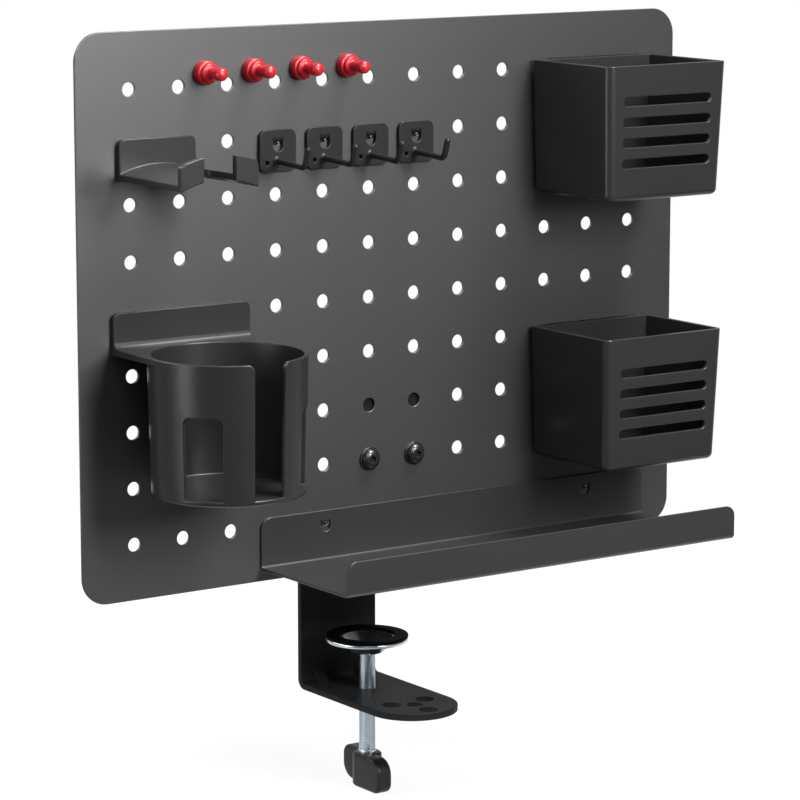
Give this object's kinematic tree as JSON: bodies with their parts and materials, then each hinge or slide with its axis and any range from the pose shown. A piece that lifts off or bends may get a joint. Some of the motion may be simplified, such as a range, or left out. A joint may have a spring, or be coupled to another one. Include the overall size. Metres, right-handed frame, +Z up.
{
  "type": "clamp-on pegboard desk organiser",
  "caption": "Perforated steel board that clamps upright to a desk edge, with open pen boxes, a cup holder, a tray, wire hooks, a headphone hanger and magnets.",
  "frame": {"origin": "centre of the jaw pad's underside, which lies on the desk top, on the clamp screw's axis", "axes": "+Z up, the board's front and its accessories face -Y, +X to the right seen from the front"},
  "size_m": [0.3332, 0.1227, 0.3672],
  "materials": {
    "panel_coat": "fine matt dark grey powder coat on steel sheet",
    "strap_coat": "satin near-black powder coat on folded steel strap",
    "fitting_coat": "matt dark grey powder coat on thin steel sheet and wire",
    "moulded_charcoal": "injection-moulded charcoal plastic, satin",
    "knob_black": "injection-moulded black plastic, satin",
    "zinc_steel": "bright zinc plate with a faint blue cast",
    "black_steel": "black oxide steel fastener, slightly glossy",
    "rubber_black": "matt black rubber",
    "pin_red": "glossy red plastic",
    "magnet_metal": "nickel-plated magnet"
  },
  "bodies": {
    "root": {"pegboard_panel": "panel_coat", "clamp_bracket": "strap_coat", "jaw_pad": "rubber_black", "clamp_nut": "zinc_steel", "panel_screw_left": "black_steel", "panel_screw_right": "black_steel", "panel_washer_left": "black_steel", "panel_washer_right": "black_steel", "panel_nut_left": "zinc_steel", "panel_nut_right": "zinc_steel"},
    "pressure_cup_body": {"pressure_cup": "zinc_steel", "pressure_pad_ring": "rubber_black"},
    "clamp_screw_body": {"clamp_screw": "zinc_steel", "clamp_knob": "knob_black"},
    "headphone_hanger_body": {"headphone_hanger": "moulded_charcoal"},
    "cup_holder_body": {"cup_holder": "moulded_charcoal"},
    "pen_box_upper_body": {"pen_box_upper": "moulded_charcoal"},
    "pen_box_lower_body": {"pen_box_lower": "moulded_charcoal"},
    "tray_body": {"tray": "fitting_coat"},
    "hook_1_body": {"hook_plate_1": "fitting_coat", "hook_rod_1": "fitting_coat"},
    "hook_2_body": {"hook_plate_2": "fitting_coat", "hook_rod_2": "fitting_coat"},
    "hook_3_body": {"hook_plate_3": "fitting_coat", "hook_rod_3": "fitting_coat"},
    "hook_4_body": {"hook_plate_4": "fitting_coat", "hook_rod_4": "fitting_coat"},
    "magnet_1_body": {"magnet_knob_1": "pin_red", "magnet_core_1": "magnet_metal"},
    "magnet_2_body": {"magnet_knob_2": "pin_red", "magnet_core_2": "magnet_metal"},
    "magnet_3_body": {"magnet_knob_3": "pin_red", "magnet_core_3": "magnet_metal"},
    "magnet_4_body": {"magnet_knob_4": "pin_red", "magnet_core_4": "magnet_metal"}
  },
  "joints": [
    {"name": "cup_travel", "type": "slide", "parent": "root", "child": "pressure_cup_body", "axis": [0, 0, 1], "range_m": [-0.0171, 0.0204]},
    {"name": "knob_turn", "type": "hinge", "parent": "pressure_cup_body", "child": "clamp_screw_body", "pos_m": [0, 0, -0.1], "axis": [0, 0, 1], "range_deg": [-4930, 5880]},
    {"name": "hook_1_lift", "type": "slide", "parent": "root", "child": "hook_1_body", "axis": [0, 0, 1], "range_m": [0, 0.0017]},
    {"name": "hook_2_lift", "type": "slide", "parent": "root", "child": "hook_2_body", "axis": [0, 0, 1], "range_m": [0, 0.0017]},
    {"name": "hook_3_lift", "type": "slide", "parent": "root", "child": "hook_3_body", "axis": [0, 0, 1], "range_m": [0, 0.0017]},
    {"name": "hook_4_lift", "type": "slide", "parent": "root", "child": "hook_4_body", "axis": [0, 0, 1], "range_m": [0, 0.0017]},
    {"name": "headphone_hanger_lift", "type": "slide", "parent": "root", "child": "headphone_hanger_body", "axis": [0, 0, 1], "range_m": [0, 0.0017]},
    {"name": "cup_holder_lift", "type": "slide", "parent": "root", "child": "cup_holder_body", "axis": [0, 0, 1], "range_m": [0, 0.0017]},
    {"name": "pen_box_upper_lift", "type": "slide", "parent": "root", "child": "pen_box_upper_body", "axis": [0, 0, 1], "range_m": [0, 0.0017]},
    {"name": "pen_box_lower_lift", "type": "slide", "parent": "root", "child": "pen_box_lower_body", "axis": [0, 0, 1], "range_m": [0, 0.0017]},
    {"name": "tray_lift", "type": "slide", "parent": "root", "child": "tray_body", "axis": [0, 0, 1], "range_m": [0, 0.0017]},
    {"name": "magnet_1_pull", "type": "slide", "parent": "root", "child": "magnet_1_body", "axis": [0, -1, 0], "range_m": [0, 0.03]},
    {"name": "magnet_2_pull", "type": "slide", "parent": "root", "child": "magnet_2_body", "axis": [0, -1, 0], "range_m": [0, 0.03]},
    {"name": "magnet_3_pull", "type": "slide", "parent": "root", "child": "magnet_3_body", "axis": [0, -1, 0], "range_m": [0, 0.03]},
    {"name": "magnet_4_pull", "type": "slide", "parent": "root", "child": "magnet_4_body", "axis": [0, -1, 0], "range_m": [0, 0.03]}
  ],
  "couplings": [
    {"joint": "knob_turn", "follows": "cup_travel", "rad_per_m": 5026.5}
  ]
}
